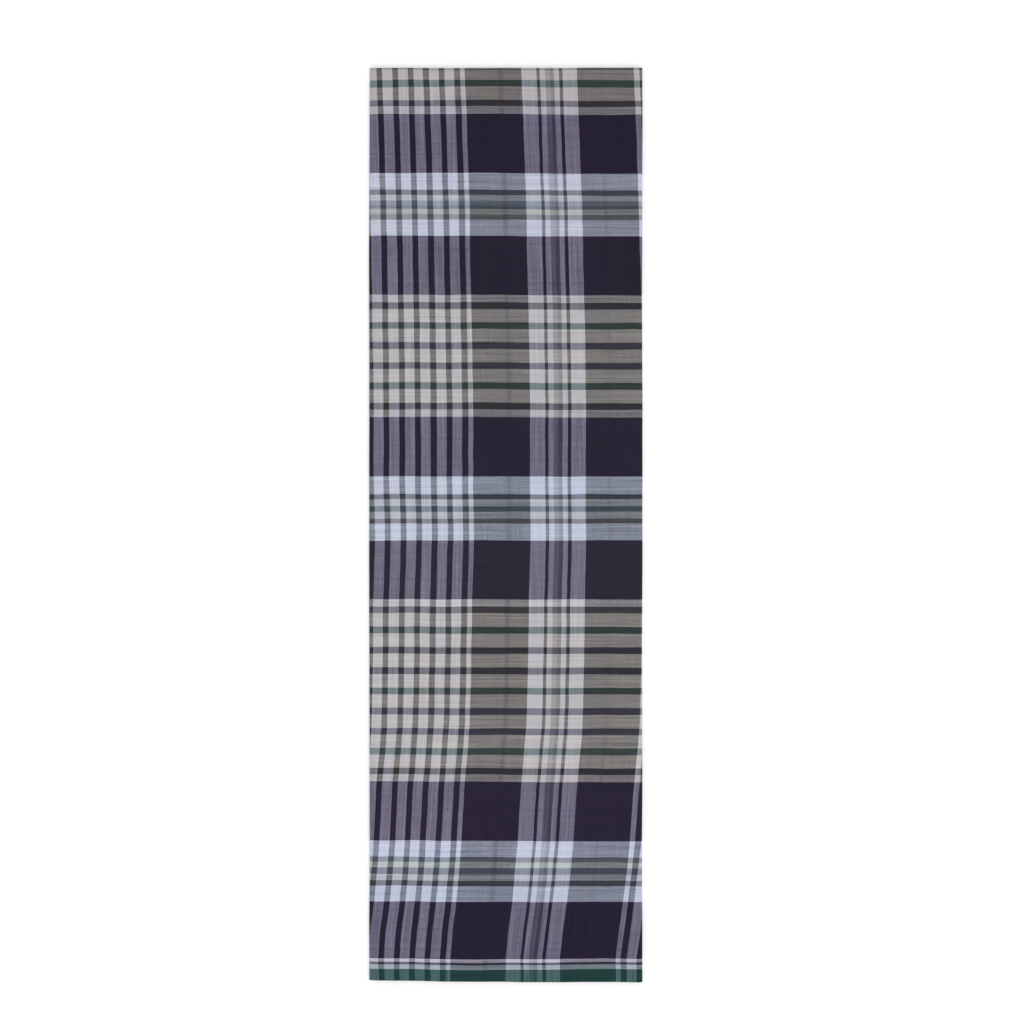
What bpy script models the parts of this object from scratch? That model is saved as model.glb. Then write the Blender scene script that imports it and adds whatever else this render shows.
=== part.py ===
"""A longyi sarong, flattened and folded in three like a letter, lying flat with its underside at z = 0.

One cloth is sewn into a tube by a single side seam. The tube is flattened to two plies, then its left third
and its right third are turned underneath, so six plies lie on each other. They are counted from 1, on top,
to 6, on the surface below. X runs across the folded strip, +Y is the waist edge and -Y is the hem.

The cloth makes one closed spiral. From the seam, at the left of ply 6, it runs right along ply 6, up round
the right fold, left along ply 1, down round the left fold, and right along ply 4 to the tube's other edge.
There it turns back along ply 3, round inside the left fold, right along ply 2, down inside the right fold
and left along ply 5 to the seam.
"""

import math

import bmesh
import bpy

# Driving dimensions, in metres.
STRIP_WIDTH = 0.3333
GARMENT_LENGTH = 1.118
PLY_THICKNESS = 0.001
PLY_GAP = 0.0003
PLY_COUNT = 6

# Folds. A reach is how far the middle of the cloth bulges past the end of its flat run.
RIGHT_FOLD_REACH = 0.0045
LEFT_FOLD_REACH = 0.0032
FOLD_TAIL = 0.005  # flat cloth that the shown panel keeps past each fold, on the underside
TUCKED_EDGE_CLEARANCE = 0.0015  # between the tucked tube edge and the fold that it lies in

# Side seam, along the free edge of the under flap.
FREE_EDGE_SETBACK = 0.0094  # from the strip's left side
SEAM_WIDTH = 0.010

# How far each stretch stops short of the shown panel, at both ends.
UNDER_PANEL_SETBACK = 0.0006
SEAM_SETBACK = 0.0004
LAYERS_SETBACK = 0.0010
TUCKED_LEAF_SETBACK = 0.0024
SLOT_DEPTH = 0.030  # how far the hidden plies stand apart, from each end

# The waist and hem edges aren't quite straight. across runs from 0, left, to 1, right.
EDGE_LINE = [
    {"across": 0.00, "waist_drop": 0.0006, "hem_rise": 0.0026},
    {"across": 0.12, "waist_drop": 0.0004, "hem_rise": 0.0021},
    {"across": 0.30, "waist_drop": 0.0005, "hem_rise": 0.0007},
    {"across": 0.50, "waist_drop": 0.0003, "hem_rise": 0.0004},
    {"across": 0.68, "waist_drop": 0.0004, "hem_rise": 0.0000},
    {"across": 0.84, "waist_drop": 0.0000, "hem_rise": 0.0004},
    {"across": 1.00, "waist_drop": 0.0001, "hem_rise": 0.0001},
]

# How finely the shapes are faceted.
FOLD_STEPS = 12
TUBE_EDGE_STEPS = 6
ACROSS_STEPS = 14
LENGTH_STEPS = 12
SMOOTH_ANGLE = math.radians(40)

CLOTH_ROUGHNESS = 0.9
COLOURS = {
    "shown_panel": (0.16, 0.17, 0.19),
    "under_panel": (0.10, 0.10, 0.13),
    "folded_layers": (0.12, 0.12, 0.15),
    "side_seam": (0.14, 0.13, 0.17),
}

HALF_PLY = PLY_THICKNESS / 2
PLY_PITCH = PLY_THICKNESS + PLY_GAP
RIGHT_FOLD_X = STRIP_WIDTH / 2 - HALF_PLY - RIGHT_FOLD_REACH
LEFT_FOLD_X = -STRIP_WIDTH / 2 + HALF_PLY + LEFT_FOLD_REACH
FREE_EDGE_X = -STRIP_WIDTH / 2 + FREE_EDGE_SETBACK
SEAM_INNER_X = FREE_EDGE_X + SEAM_WIDTH


def level(ply):
    """Height of the middle of a ply."""
    return HALF_PLY + (PLY_COUNT - ply) * PLY_PITCH


def top_of(ply):
    return level(ply) + HALF_PLY


def bottom_of(ply):
    return level(ply) - HALF_PLY


def edge_shift(x, column):
    """Reads a column of EDGE_LINE at x, easing from row to row."""
    across = min(max(x / STRIP_WIDTH + 0.5, 0.0), 1.0)
    for before, after in zip(EDGE_LINE, EDGE_LINE[1:]):
        if across <= after["across"]:
            share = (across - before["across"]) / (after["across"] - before["across"])
            eased = share * share * (3 - 2 * share)
            return before[column] + eased * (after[column] - before[column])
    return EDGE_LINE[-1][column]


def place(x, share, setback):
    """Y at x, for a share from 0 at the hem to 1 at the waist, of a stretch with this setback."""
    hem = -GARMENT_LENGTH / 2 + edge_shift(x, "hem_rise") + setback
    waist = GARMENT_LENGTH / 2 - edge_shift(x, "waist_drop") - setback
    return hem + share * (waist - hem)


def run(start_x, end_x, z, steps):
    """Points of a flat stretch."""
    return [(start_x + (end_x - start_x) * i / steps, z) for i in range(steps + 1)]


def fold(centre_x, side, start_z, end_z, reach, steps):
    """Points round a fold, from one level to another. side is 1 for a right fold and -1 for a left one."""
    middle = (start_z + end_z) / 2
    rise = (start_z - end_z) / 2
    turns = [math.pi * i / steps for i in range(steps + 1)]
    return [(centre_x + side * reach * math.sin(turn), middle + rise * math.cos(turn)) for turn in turns]


def offset_path(path, distance):
    """The path's points moved to its left by distance."""
    moved = []
    for i, (x, z) in enumerate(path):
        before = path[max(i - 1, 0)]
        after = path[min(i + 1, len(path) - 1)]
        along_x = after[0] - before[0]
        along_z = after[1] - before[1]
        length = math.hypot(along_x, along_z)
        moved.append((x - along_z / length * distance, z + along_x / length * distance))
    return moved


def make_object(name, bm):
    """Links a finished bmesh as an object with its own material."""
    bmesh.ops.recalc_face_normals(bm, faces=bm.faces)
    mesh = bpy.data.meshes.new(name)
    bm.to_mesh(mesh)
    bm.free()
    mesh.shade_smooth()
    mesh.set_sharp_from_angle(angle=SMOOTH_ANGLE)
    material = bpy.data.materials.new(name + "_cloth")
    material.use_nodes = True
    shader = material.node_tree.nodes["Principled BSDF"]
    shader.inputs["Base Color"].default_value = (*COLOURS[name], 1.0)
    shader.inputs["Roughness"].default_value = CLOTH_ROUGHNESS
    shader.inputs["Metallic"].default_value = 0.0
    mesh.materials.append(material)
    bpy.context.scene.collection.objects.link(bpy.data.objects.new(name, mesh))


def cap_wall(bm, side, other_side):
    """The cut end of a cloth wall, between the rows of vertices along its two sides."""
    for i in range(len(side) - 1):
        bm.faces.new((side[i], side[i + 1], other_side[i + 1], other_side[i]))


def wall(path, setback):
    """A cloth wall one ply thick, swept along the garment's length from its section's middle line."""
    bm = bmesh.new()
    sides = (offset_path(path, HALF_PLY), offset_path(path, -HALF_PLY))
    rows = []
    for step in range(LENGTH_STEPS + 1):
        share = step / LENGTH_STEPS
        rows.append([[bm.verts.new((x, place(x, share, setback), z)) for x, z in side] for side in sides])
    for (near_up, near_low), (far_up, far_low) in zip(rows, rows[1:]):
        for i in range(len(path) - 1):
            bm.faces.new((near_up[i], near_up[i + 1], far_up[i + 1], far_up[i]))
            bm.faces.new((near_low[i + 1], near_low[i], far_low[i], far_low[i + 1]))
        for i in (0, -1):
            bm.faces.new((near_up[i], far_up[i], far_low[i], near_low[i]))
    cap_wall(bm, *rows[0])
    cap_wall(bm, *rows[-1])
    return bm


def join_rings(bm, near, far):
    """Faces between two closed rings of vertices."""
    for i in range(len(near)):
        after = (i + 1) % len(near)
        bm.faces.new((near[i], near[after], far[after], far[i]))


def build_shown_panel():
    """Ply 1, with the folds at both sides and the cloth's first few millimetres underneath."""
    path = [(LEFT_FOLD_X + FOLD_TAIL, level(4))]
    path += fold(LEFT_FOLD_X, -1, level(4), level(1), LEFT_FOLD_REACH, FOLD_STEPS)
    path += run(LEFT_FOLD_X, RIGHT_FOLD_X, level(1), ACROSS_STEPS)[1:-1]
    path += fold(RIGHT_FOLD_X, 1, level(1), level(6), RIGHT_FOLD_REACH, FOLD_STEPS)
    path += [(RIGHT_FOLD_X - FOLD_TAIL, level(6))]
    make_object("shown_panel", wall(path, 0.0))


def build_under_panel():
    """Ply 6, from the right fold to the side seam."""
    path = run(SEAM_INNER_X + PLY_GAP, RIGHT_FOLD_X - FOLD_TAIL - PLY_GAP, level(6), ACROSS_STEPS)
    make_object("under_panel", wall(path, UNDER_PANEL_SETBACK))


def build_side_seam():
    """The felled seam is as thick as plies 5 and 6 together, and rounds off at the tube's edge."""
    reach = (top_of(5) - bottom_of(6)) / 2
    outline = fold(FREE_EDGE_X + reach, -1, bottom_of(6), top_of(5), reach, TUBE_EDGE_STEPS)
    outline += [(SEAM_INNER_X, top_of(5)), (SEAM_INNER_X, bottom_of(6))]
    bm = bmesh.new()
    hem, waist = (
        [bm.verts.new((x, place(x, share, SEAM_SETBACK), z)) for x, z in outline]
        for share in (0.0, 1.0)
    )
    join_rings(bm, hem, waist)
    bm.faces.new(hem)
    bm.faces.new(waist)
    make_object("side_seam", bm)


def build_folded_layers():
    """Plies 2 to 5 as one rounded solid, whose plies stand apart near the hem and the waist.

    At each end the cloth is one wall, from the left end of ply 5 round to the left end of ply 4. Two slots
    lie between its plies. The first opens between plies 4 and 5, passes round the tucked tube edge and ends
    between plies 2 and 3. The second lies between plies 3 and 4.
    """
    reach_right = RIGHT_FOLD_REACH - PLY_PITCH
    reach_left = LEFT_FOLD_REACH - PLY_PITCH
    tube_edge_reach = (level(3) - level(4)) / 2
    pocket_x = RIGHT_FOLD_X + reach_right - HALF_PLY
    tube_edge_x = pocket_x - TUCKED_EDGE_CLEARANCE - HALF_PLY - tube_edge_reach
    ply_4_x = LEFT_FOLD_X + FOLD_TAIL + PLY_GAP
    ply_5_x = SEAM_INNER_X + PLY_GAP

    path = [(ply_5_x, level(5))]
    path += fold(RIGHT_FOLD_X, 1, level(5), level(2), reach_right, FOLD_STEPS)
    path += fold(LEFT_FOLD_X, -1, level(2), level(3), reach_left, FOLD_STEPS)
    above_ply_4_end = len(path)
    path += [(ply_4_x, level(3))]
    path += fold(tube_edge_x, 1, level(3), level(4), tube_edge_reach, TUBE_EDGE_STEPS)
    above_ply_5_end = len(path)
    path += [(ply_5_x, level(4)), (ply_4_x, level(4))]
    sides = (offset_path(path, HALF_PLY), offset_path(path, -HALF_PLY))

    def setback(z):
        """The tucked leaf, plies 3 and 4, stops shorter than plies 2 and 5."""
        return TUCKED_LEAF_SETBACK if bottom_of(4) <= z <= top_of(3) else LAYERS_SETBACK

    bm = bmesh.new()
    blocks = []
    for share, end in ((0.0, -1), (1.0, 1)):
        slot_floor = end * (GARMENT_LENGTH / 2 - SLOT_DEPTH)
        edge = [[bm.verts.new((x, place(x, share, setback(z)), z)) for x, z in side] for side in sides]
        inner = [[bm.verts.new((x, slot_floor, z)) for x, z in side] for side in sides]
        join_rings(bm, edge[0] + edge[1][::-1], inner[0] + inner[1][::-1])
        cap_wall(bm, *edge)
        slots_side, shell_side = inner
        bm.faces.new(slots_side[:above_ply_5_end + 1])
        bm.faces.new(shell_side[above_ply_4_end:])
        shell = shell_side[:above_ply_4_end + 1] + [shell_side[-1]]
        shell += reversed(slots_side[above_ply_5_end:])
        blocks.append([*shell, slots_side[0]])
    join_rings(bm, *blocks)
    make_object("folded_layers", bm)


for existing in list(bpy.data.objects):
    bpy.data.objects.remove(existing)

build_shown_panel()
build_under_panel()
build_side_seam()
build_folded_layers()
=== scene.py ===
import math

import bpy
import numpy as np
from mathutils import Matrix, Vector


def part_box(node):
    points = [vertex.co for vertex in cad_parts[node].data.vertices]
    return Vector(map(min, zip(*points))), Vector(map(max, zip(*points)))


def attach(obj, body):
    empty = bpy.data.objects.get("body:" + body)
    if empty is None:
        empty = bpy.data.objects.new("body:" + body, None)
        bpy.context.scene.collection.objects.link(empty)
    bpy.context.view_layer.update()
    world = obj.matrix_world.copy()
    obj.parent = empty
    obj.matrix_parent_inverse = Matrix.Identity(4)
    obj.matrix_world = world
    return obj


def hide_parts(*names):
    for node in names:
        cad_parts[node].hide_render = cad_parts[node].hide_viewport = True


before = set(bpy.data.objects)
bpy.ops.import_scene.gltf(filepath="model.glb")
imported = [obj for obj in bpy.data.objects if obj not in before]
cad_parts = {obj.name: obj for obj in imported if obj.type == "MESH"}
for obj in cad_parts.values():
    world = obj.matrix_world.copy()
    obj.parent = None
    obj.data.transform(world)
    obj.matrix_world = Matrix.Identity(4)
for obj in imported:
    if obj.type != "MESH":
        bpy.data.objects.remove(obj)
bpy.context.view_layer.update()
print("frame loaded")

# A longyi sarong, flattened, folded in three and lying flat. All sizes are in metres.
# X runs across the folded strip, +Y is the waist edge and -Y the hem, and the cloth lies on z = 0.
# The six plies are counted from 1, on top, to 6, on the table.
# u is a place round the tube, 0 in the middle of ply 1. v is a place down the cloth, 0 at the waist edge.

shownLow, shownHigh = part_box("shown_panel")
seamLow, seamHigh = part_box("side_seam")
stripWidth = shownHigh.x - shownLow.x
garmentLength = shownHigh.y - shownLow.y
freeEdgeX = seamLow.x
seamInnerX = seamHigh.x

cloth = {
    "thickness": 0.00060,
    "plyPitch": 0.00136,  # from the middle of one ply to the next, where the stack is at its fullest
    "selvedgeBead": 0.00014,  # extra thickness at the waist and hem edges
    "selvedgeReach": 0.0035,
    "edgeRounding": 0.00022,
    "rightFoldReach": 0.0045,  # how far the middle of the cloth bulges past its flat run
    "leftFoldReach": 0.0032,
    "foldTail": 0.0050,  # flat cloth past each fold, on the underside, that belongs to the shown piece
    "rowWave": 0.00025,  # how far the waist and hem edges waver
    "setbackReach": 0.03,  # how gradually a ply that ends short comes level with the rest
    "smoothAngle": 58,  # degrees
    "tuckedEdgeClearance": 0.0015,
}

# The waist and hem edges aren't quite straight. across runs from 0, left, to 1, right.
edgeLine = [
    {"across": 0.00, "waistDrop": 0.0006, "hemRise": 0.0020},
    {"across": 0.12, "waistDrop": 0.0004, "hemRise": 0.0019},
    {"across": 0.30, "waistDrop": 0.0005, "hemRise": 0.0007},
    {"across": 0.50, "waistDrop": 0.0003, "hemRise": 0.0004},
    {"across": 0.68, "waistDrop": 0.0004, "hemRise": 0.0000},
    {"across": 0.84, "waistDrop": 0.0002, "hemRise": 0.0004},
    {"across": 1.00, "waistDrop": 0.0001, "hemRise": 0.0001},
]

# Nor are the two long folds. A row gives y, then how far the left and the right one lie out there.
sideLine = [
    (0.559, -0.0006, 0.0008),
    (0.480, 0.0001, 0.0010),
    (0.420, 0.0002, 0.0004),
    (0.320, 0.0005, 0.0004),
    (0.250, 0.0001, 0.0005),
    (0.180, 0.0001, 0.0008),
    (0.080, 0.0004, 0.0009),
    (-0.050, 0.0004, 0.0009),
    (-0.130, 0.0000, 0.0003),
    (-0.250, 0.0000, 0.0004),
    (-0.330, -0.0001, 0.0009),
    (-0.410, -0.0002, 0.0003),
    (-0.480, 0.0003, 0.0005),
    (-0.559, 0.0001, 0.0006),
]

half = cloth["thickness"] / 2
pitch = cloth["plyPitch"]
rightFoldX = stripWidth / 2 - half - cloth["rightFoldReach"]
leftFoldX = -stripWidth / 2 + half + cloth["leftFoldReach"]


def level(ply):
    return half + (6 - ply) * pitch


stackTop = level(1) + half


# Soft fields that every piece shares, so that the plies stay nested

def ease(t):
    t = np.clip(t, 0.0, 1.0)
    return t * t * (3 - 2 * t)


def softWaves(x, y, seed, shortest, longest, depthPhase=0.0):
    # smooth unevenness from about -1 to 1, the same for the same seed
    draw = np.random.default_rng(seed)
    total = 0.0
    count = 8
    for _ in range(count):
        length = draw.uniform(shortest, longest)
        turn = draw.uniform(0, math.pi)
        phase = draw.uniform(0, 2 * math.pi)
        drift = draw.uniform(-1, 1) * depthPhase
        along = x * math.cos(turn) + y * math.sin(turn)
        total = total + np.sin(along * 2 * math.pi / length + phase + drift)
    return total / math.sqrt(count * 2)


def edgeShift(x, column):
    across = np.clip(np.asarray(x) / stripWidth + 0.5, 0.0, 1.0)
    shift = np.full_like(across, edgeLine[0][column])
    for before, after in zip(edgeLine, edgeLine[1:]):
        part = ease((across - before["across"]) / (after["across"] - before["across"]))
        shift = shift + part * (after[column] - before[column])
    return shift


def hemAt(x):
    return -garmentLength / 2 + edgeShift(x, "hemRise")


def waistAt(x):
    return garmentLength / 2 - edgeShift(x, "waistDrop")


softness = {
    "flatShare": 0.86,  # how full the stack is in its pressed middle
    "foldFill": 0.115,  # added beside the two folds, which keep some air
    "foldReach": 0.034,
    "endFill": 0.05,  # added at the waist and hem, where the plies part a little
    "endReach": 0.030,
    "waveFill": 0.020,
    "plyWave": 0.00020,  # each ply's own unevenness
    "leftDroop": 0.0021,  # the left fold hangs over the edge of the under flap
    "droopStart": 0.0020,  # from the flap's edge
    "droopReach": 0.0105,
    "sideWobble": 0.00022,
    "wobbleReach": 0.03665,  # how far in from a fold its wobble reaches
    "sideReach": 0.015,  # and how far the stray that sideLine gives
}

# Creases pressed or rubbed into the top. turn is in degrees from +X, and a negative depth is a ridge.
# bend is how strongly a crease curves.
creases = [
    {"x": 0.005, "y": 0.060, "turn": 90.6, "length": 0.90, "width": 0.0042, "depth": -0.00022, "bend": 0.02},
    {"x": 0.000, "y": 0.283, "turn": 0.8, "length": 0.33, "width": 0.0055, "depth": 0.00030, "bend": -0.05},
    {"x": 0.012, "y": 0.004, "turn": -0.6, "length": 0.30, "width": 0.0065, "depth": -0.00034, "bend": 0.04},
    {"x": -0.010, "y": -0.276, "turn": 0.4, "length": 0.33, "width": 0.0050, "depth": 0.00026, "bend": 0.03},
    {"x": -0.104, "y": 0.462, "turn": 58, "length": 0.15, "width": 0.0110, "depth": 0.00052, "bend": 0.9},
    {"x": 0.092, "y": 0.492, "turn": 118, "length": 0.11, "width": 0.0140, "depth": 0.00045, "bend": -1.2},
    {"x": 0.118, "y": 0.352, "turn": 82, "length": 0.21, "width": 0.0095, "depth": -0.00038, "bend": 0.5},
    {"x": -0.060, "y": 0.330, "turn": 71, "length": 0.17, "width": 0.0160, "depth": 0.00055, "bend": -0.6},
    {"x": 0.052, "y": 0.205, "turn": 104, "length": 0.13, "width": 0.0120, "depth": 0.00036, "bend": 0.8},
    {"x": -0.121, "y": 0.182, "turn": 93, "length": 0.24, "width": 0.0105, "depth": -0.00042, "bend": -0.3},
    {"x": 0.074, "y": 0.066, "turn": 63, "length": 0.16, "width": 0.0170, "depth": 0.00050, "bend": 0.7},
    {"x": -0.048, "y": -0.052, "turn": 112, "length": 0.19, "width": 0.0130, "depth": 0.00044, "bend": -0.5},
    {"x": 0.124, "y": -0.118, "turn": 86, "length": 0.26, "width": 0.0100, "depth": -0.00046, "bend": 0.2},
    {"x": -0.116, "y": -0.168, "turn": 76, "length": 0.15, "width": 0.0125, "depth": 0.00040, "bend": 0.9},
    {"x": 0.030, "y": -0.196, "turn": 48, "length": 0.14, "width": 0.0180, "depth": 0.00052, "bend": -1.0},
    {"x": -0.040, "y": -0.352, "turn": 97, "length": 0.23, "width": 0.0115, "depth": -0.00040, "bend": 0.6},
    {"x": 0.096, "y": -0.372, "turn": 68, "length": 0.18, "width": 0.0150, "depth": 0.00056, "bend": -0.7},
    {"x": -0.112, "y": -0.455, "turn": 121, "length": 0.12, "width": 0.0120, "depth": 0.00048, "bend": 1.1},
    {"x": 0.060, "y": -0.505, "turn": 84, "length": 0.10, "width": 0.0085, "depth": -0.00036, "bend": -0.8},
]

creaseWander = 0.0018  # how far a crease strays from its line
creaseWidthChange = 0.35


def creaseHeight(x, y):
    # waves along each crease, out of step with the others, keep it from looking ruled
    height = np.zeros_like(x)
    for crease in creases:
        turn = math.radians(crease["turn"])
        offX = x - crease["x"]
        offY = y - crease["y"]
        along = (offX * math.cos(turn) + offY * math.sin(turn)) / (crease["length"] / 2)
        across = -offX * math.sin(turn) + offY * math.cos(turn)
        across = across - crease["bend"] * (along * crease["length"] / 2) ** 2
        across = across + creaseWander * np.sin(along * 5.1 + crease["x"] * 90)
        width = crease["width"] * (1.0 + creaseWidthChange * np.sin(along * 2.3 + crease["y"] * 40))
        fade = ease(1.15 - np.abs(along)) * (0.8 + 0.2 * np.sin(along * 6.7 + crease["x"] * 70))
        height -= crease["depth"] * fade * np.exp(-(across / width) ** 2)
    return height


def sideStray(x, y):
    # how far cloth near a fold lies to the right of where it would if the fold were straight
    heights, left, right = np.array(sideLine[::-1]).T
    outward = np.where(x > 0, np.interp(y, heights, right), -np.interp(y, heights, left))
    fromFold = stripWidth / 2 - np.abs(x)
    wobble = ease((softness["wobbleReach"] - fromFold) / 0.03) * softWaves(np.sign(x), y, 59, 0.06, 0.35)
    near = ease(1 - fromFold / softness["sideReach"])
    return softness["sideWobble"] * wobble + near * outward


def settle(x, y, z):
    # moves points of the flat stack to where soft cloth lies, and keeps every ply above the next
    fromEnd = np.minimum(waistAt(x) - y, y - hemAt(x))
    beside = ease(1 - (stripWidth / 2 - x) / softness["foldReach"])
    beside = beside + ease(1 - (x + stripWidth / 2) / softness["foldReach"])
    atEnd = ease(1 - fromEnd / softness["endReach"])
    fill = softness["flatShare"] + softness["foldFill"] * beside + softness["endFill"] * atEnd * (1 - beside)
    fill = fill + softness["waveFill"] * softWaves(x, y, 11, 0.10, 0.30)
    fill = np.minimum(fill, 1.0)
    lift = np.clip(z / stackTop, 0.0, 1.0)
    offTable = ease(z / (2 * pitch))
    raised = z * fill + creaseHeight(x, y) * lift ** 2 * ease(fromEnd / 0.02)
    ownWave = softWaves(x, y, 23, 0.05, 0.16, depthPhase=z / pitch * 1.1)
    endWave = softWaves(x, y, 31, 0.03, 0.08, depthPhase=z / pitch * 1.6)
    raised = raised + softness["plyWave"] * offTable * (ownWave + 0.9 * atEnd * endWave)
    overhang = ease((freeEdgeX + softness["droopStart"] - x) / softness["droopReach"])
    droop = softness["leftDroop"] * (1 + 0.25 * softWaves(x * 0, y, 47, 0.12, 0.4))
    raised = raised - droop * overhang * ease(z / pitch - 1.2)
    return x + sideStray(x, y), y, np.maximum(raised, 0.0)


# Sections across the strip, as the cloth's middle line seen from the hem

def flatRun(startX, endX, z, step):
    count = max(2, round(abs(endX - startX) / step))
    return [(startX + (endX - startX) * i / count, z) for i in range(count + 1)]


def foldArc(centreX, side, startZ, endZ, reach, steps=16):
    # side is 1 for a right fold and -1 for a left one
    middle = (startZ + endZ) / 2
    rise = (startZ - endZ) / 2
    turns = [math.pi * i / steps for i in range(steps + 1)]
    return [(centreX + side * reach * math.sin(turn), middle + rise * math.cos(turn)) for turn in turns]


def joined(*stretches):
    path = []
    for stretch in stretches:
        path += stretch[1:] if path else stretch
    return np.array(path)


def arcLengths(path):
    steps = np.hypot(*np.diff(path, axis=0).T)
    return np.concatenate([[0.0], np.cumsum(steps)])


def sideNormals(path):
    along = np.gradient(path, axis=0)
    along = along / np.linalg.norm(along, axis=1, keepdims=True)
    return np.stack([-along[:, 1], along[:, 0]], axis=1)


def rowShares(coarse):
    # shares of the length from hem to waist, closer together at both ends
    near = [0.0, 0.0007, 0.0015, 0.0026, 0.0040, 0.0060, 0.0085, 0.0115, 0.0150, 0.0190]
    count = round((garmentLength - 2 * near[-1]) / coarse)
    middle = np.linspace(near[-1], garmentLength - near[-1], count + 1)
    far = [garmentLength - d for d in reversed(near[:-1])]
    return np.concatenate([near[:-1], middle, far]) / garmentLength


# The check's grain: it leans across the strip and its bands bow a little

lean = {
    "peakY": 0.0298,
    "waistLean": -0.0108,
    "hemLean": -0.0330,
    "waistPower": 2.0,
    "hemPower": 2.2,
    "keptAtSeam": 0.4,  # share of the lean that is left at the tube's two edges
}

# Where the check strays from that. A row gives y, then millimetres at these places across ply 1.
strayPlaces = (-0.130, -0.030, 0.095, 0.158)

# how far the columns lie to the right, going from the waist to the hem
columnStrays = [
    (0.559, 0.5, -0.5, 0.0, -0.5),
    (0.420, -0.5, 0.0, 0.0, -0.5),
    (0.383, -0.5, 0.0, 1.0, -0.5),
    (0.320, -0.5, -1.0, 0.5, -0.5),
    (0.250, -1.0, -0.5, 1.0, 1.0),
    (0.140, -1.0, 0.0, 1.0, 1.0),
    (0.055, -1.5, -0.5, 0.0, 0.0),
    (-0.015, 0.5, 0.5, 1.0, 1.0),
    (-0.095, -1.0, -1.0, 0.0, 0.0),
    (-0.244, 2.0, 1.0, 2.5, 2.0),
    (-0.325, 0.0, -1.0, 0.0, -0.5),
    (-0.394, 2.0, 0.0, 0.5, -0.5),
    (-0.455, 2.0, 0.5, -0.5, -2.0),
    (-0.500, 1.0, 0.0, -2.5, -3.5),
    (-0.530, 2.0, 0.5, -3.0, -4.0),
    (-0.556, 6.0, 3.0, 1.5, -1.0),
]

# how far the bands lie down the cloth, at the first three places
bandStrays = [
    (0.559, -2.0, -0.5, -1.5),
    (0.535, 0.5, -1.0, 1.0),
    (0.505, -0.5, -1.0, 0.5),
    (0.421, 0.0, -0.5, 1.0),
    (0.383, 0.5, 0.5, 1.5),
    (0.350, -0.5, -0.5, 0.5),
    (0.219, -1.0, -1.5, -0.5),
    (0.160, -1.0, -1.5, -0.5),
    (0.018, 1.0, 0.5, 0.5),
    (-0.015, 0.5, -0.5, -0.5),
    (-0.100, 0.0, -0.5, -0.5),
    (-0.244, 1.5, 1.0, 1.0),
    (-0.325, 0.5, -0.5, 0.5),
    (-0.394, 0.5, 0.0, 0.5),
    (-0.425, 1.5, 1.0, 1.0),
    (-0.460, 1.0, 0.5, 0.0),
    (-0.542, 1.5, 1.5, 0.0),
    (-0.556, -0.5, 1.5, -1.5),
]


def grainLean(y, u):
    up = np.clip(y - lean["peakY"], 0, None) / (garmentLength / 2 - lean["peakY"])
    down = np.clip(lean["peakY"] - y, 0, None) / (garmentLength / 2 + lean["peakY"])
    full = lean["waistLean"] * up ** lean["waistPower"] + lean["hemLean"] * down ** lean["hemPower"]
    return full * (1 - (1 - lean["keptAtSeam"]) * ease((np.abs(u) - 0.17) / 0.32))


def strayAt(y, u, rows):
    # in metres, read between the rows and between the places
    heights, *readings = np.array(rows[::-1]).T
    places = strayPlaces[:len(readings)]
    stray = 0.0
    for reading, share in zip(readings, np.eye(len(places))):
        stray = stray + np.interp(y, heights, reading) * np.interp(u, places, share)
    return stray / 1000


def clothPlace(x, y, u):
    down = (waistAt(x) - y) / (waistAt(x) - hemAt(x)) * garmentLength
    return u - grainLean(y, u) - strayAt(y, u, columnStrays), down - strayAt(y, u, bandStrays)


# One stretch of cloth as a closed shell: an outer side, an inner side and rounded waist and hem edges

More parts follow.
